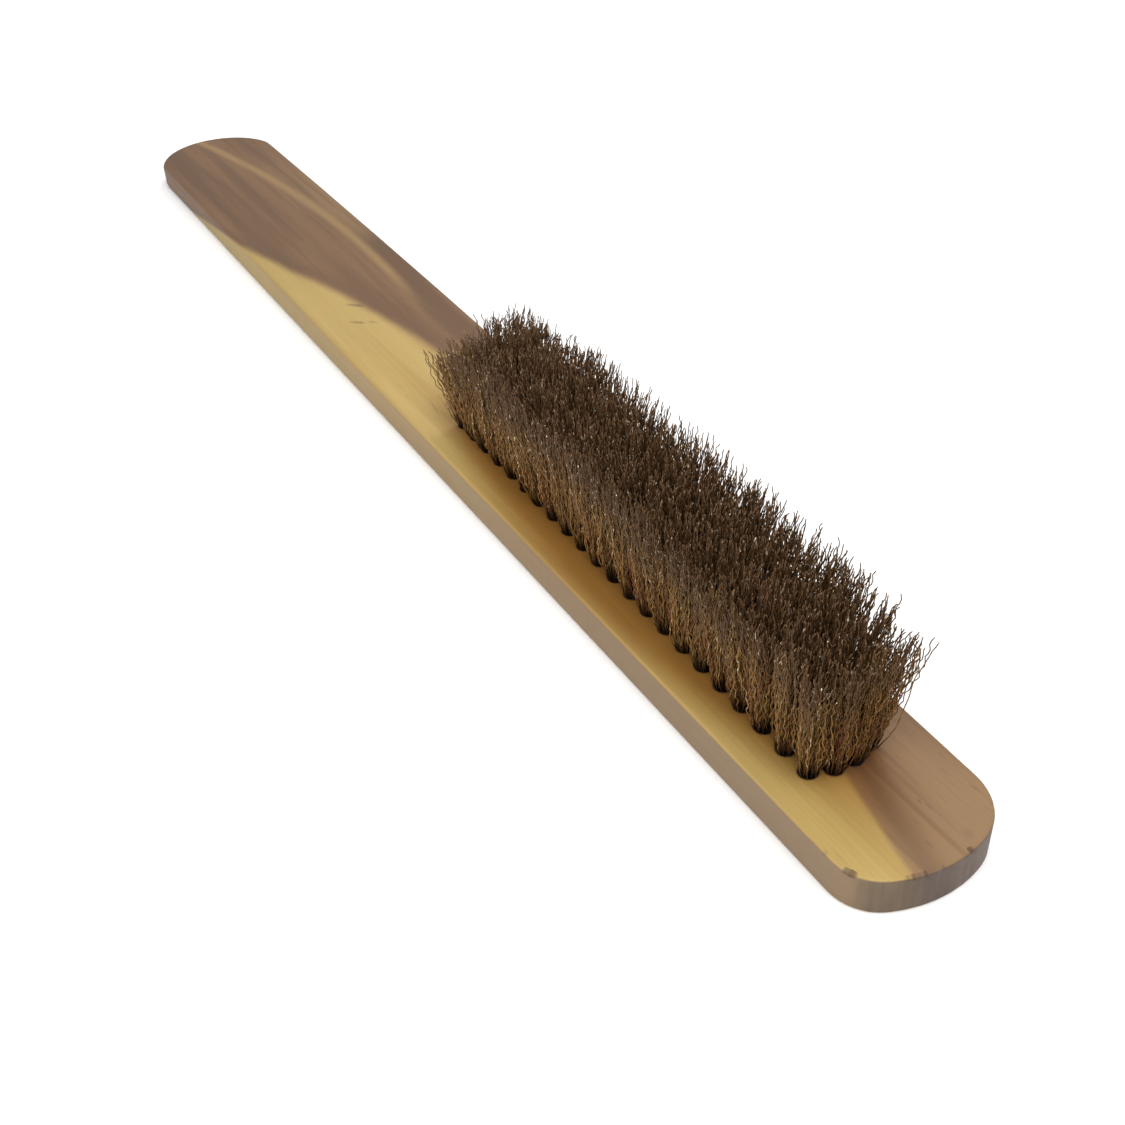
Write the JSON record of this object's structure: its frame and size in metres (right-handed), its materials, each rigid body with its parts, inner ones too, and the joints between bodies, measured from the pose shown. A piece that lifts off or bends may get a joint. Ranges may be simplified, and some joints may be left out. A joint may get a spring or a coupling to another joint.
{
  "type": "wire brush",
  "caption": "Long straight-handled hand wire brush: a flat wooden board with a block of crimped brass wire tufts along its toe half.",
  "frame": {"origin": "middle of the board's flat underside (the back of the brush)", "axes": "+X along the board from the grip to the toe, +Z out of the bristles, +Y across the board towards its bowed side"},
  "size_m": [0.366, 0.0366, 0.0375],
  "materials": {
    "wood": "sanded, bare, two-tone sapwood and heartwood",
    "brass_wire": "dull crimped wire",
    "anchor_steel": "plain zinc-plated strip"
  },
  "bodies": {
    "root": {"board": "wood", "anchors_row_01": "anchor_steel", "tufts_row_01": "brass_wire", "anchors_row_02": "anchor_steel", "tufts_row_02": "brass_wire", "anchors_row_03": "anchor_steel", "tufts_row_03": "brass_wire", "anchors_row_04": "anchor_steel", "tufts_row_04": "brass_wire", "anchors_row_05": "anchor_steel", "tufts_row_05": "brass_wire", "anchors_row_06": "anchor_steel", "tufts_row_06": "brass_wire", "anchors_row_07": "anchor_steel", "tufts_row_07": "brass_wire", "anchors_row_08": "anchor_steel", "tufts_row_08": "brass_wire", "anchors_row_09": "anchor_steel", "tufts_row_09": "brass_wire", "anchors_row_10": "anchor_steel", "tufts_row_10": "brass_wire", "anchors_row_11": "anchor_steel", "tufts_row_11": "brass_wire", "anchors_row_12": "anchor_steel", "tufts_row_12": "brass_wire", "anchors_row_13": "anchor_steel", "tufts_row_13": "brass_wire", "anchors_row_14": "anchor_steel", "tufts_row_14": "brass_wire", "anchors_row_15": "anchor_steel", "tufts_row_15": "brass_wire", "anchors_row_16": "anchor_steel", "tufts_row_16": "brass_wire", "anchors_row_17": "anchor_steel", "tufts_row_17": "brass_wire", "anchors_row_18": "anchor_steel", "tufts_row_18": "brass_wire", "anchors_row_19": "anchor_steel", "tufts_row_19": "brass_wire", "anchors_row_20": "anchor_steel", "tufts_row_20": "brass_wire", "anchors_row_21": "anchor_steel", "tufts_row_21": "brass_wire", "anchors_row_22": "anchor_steel", "tufts_row_22": "brass_wire"}
  },
  "joints": []
}
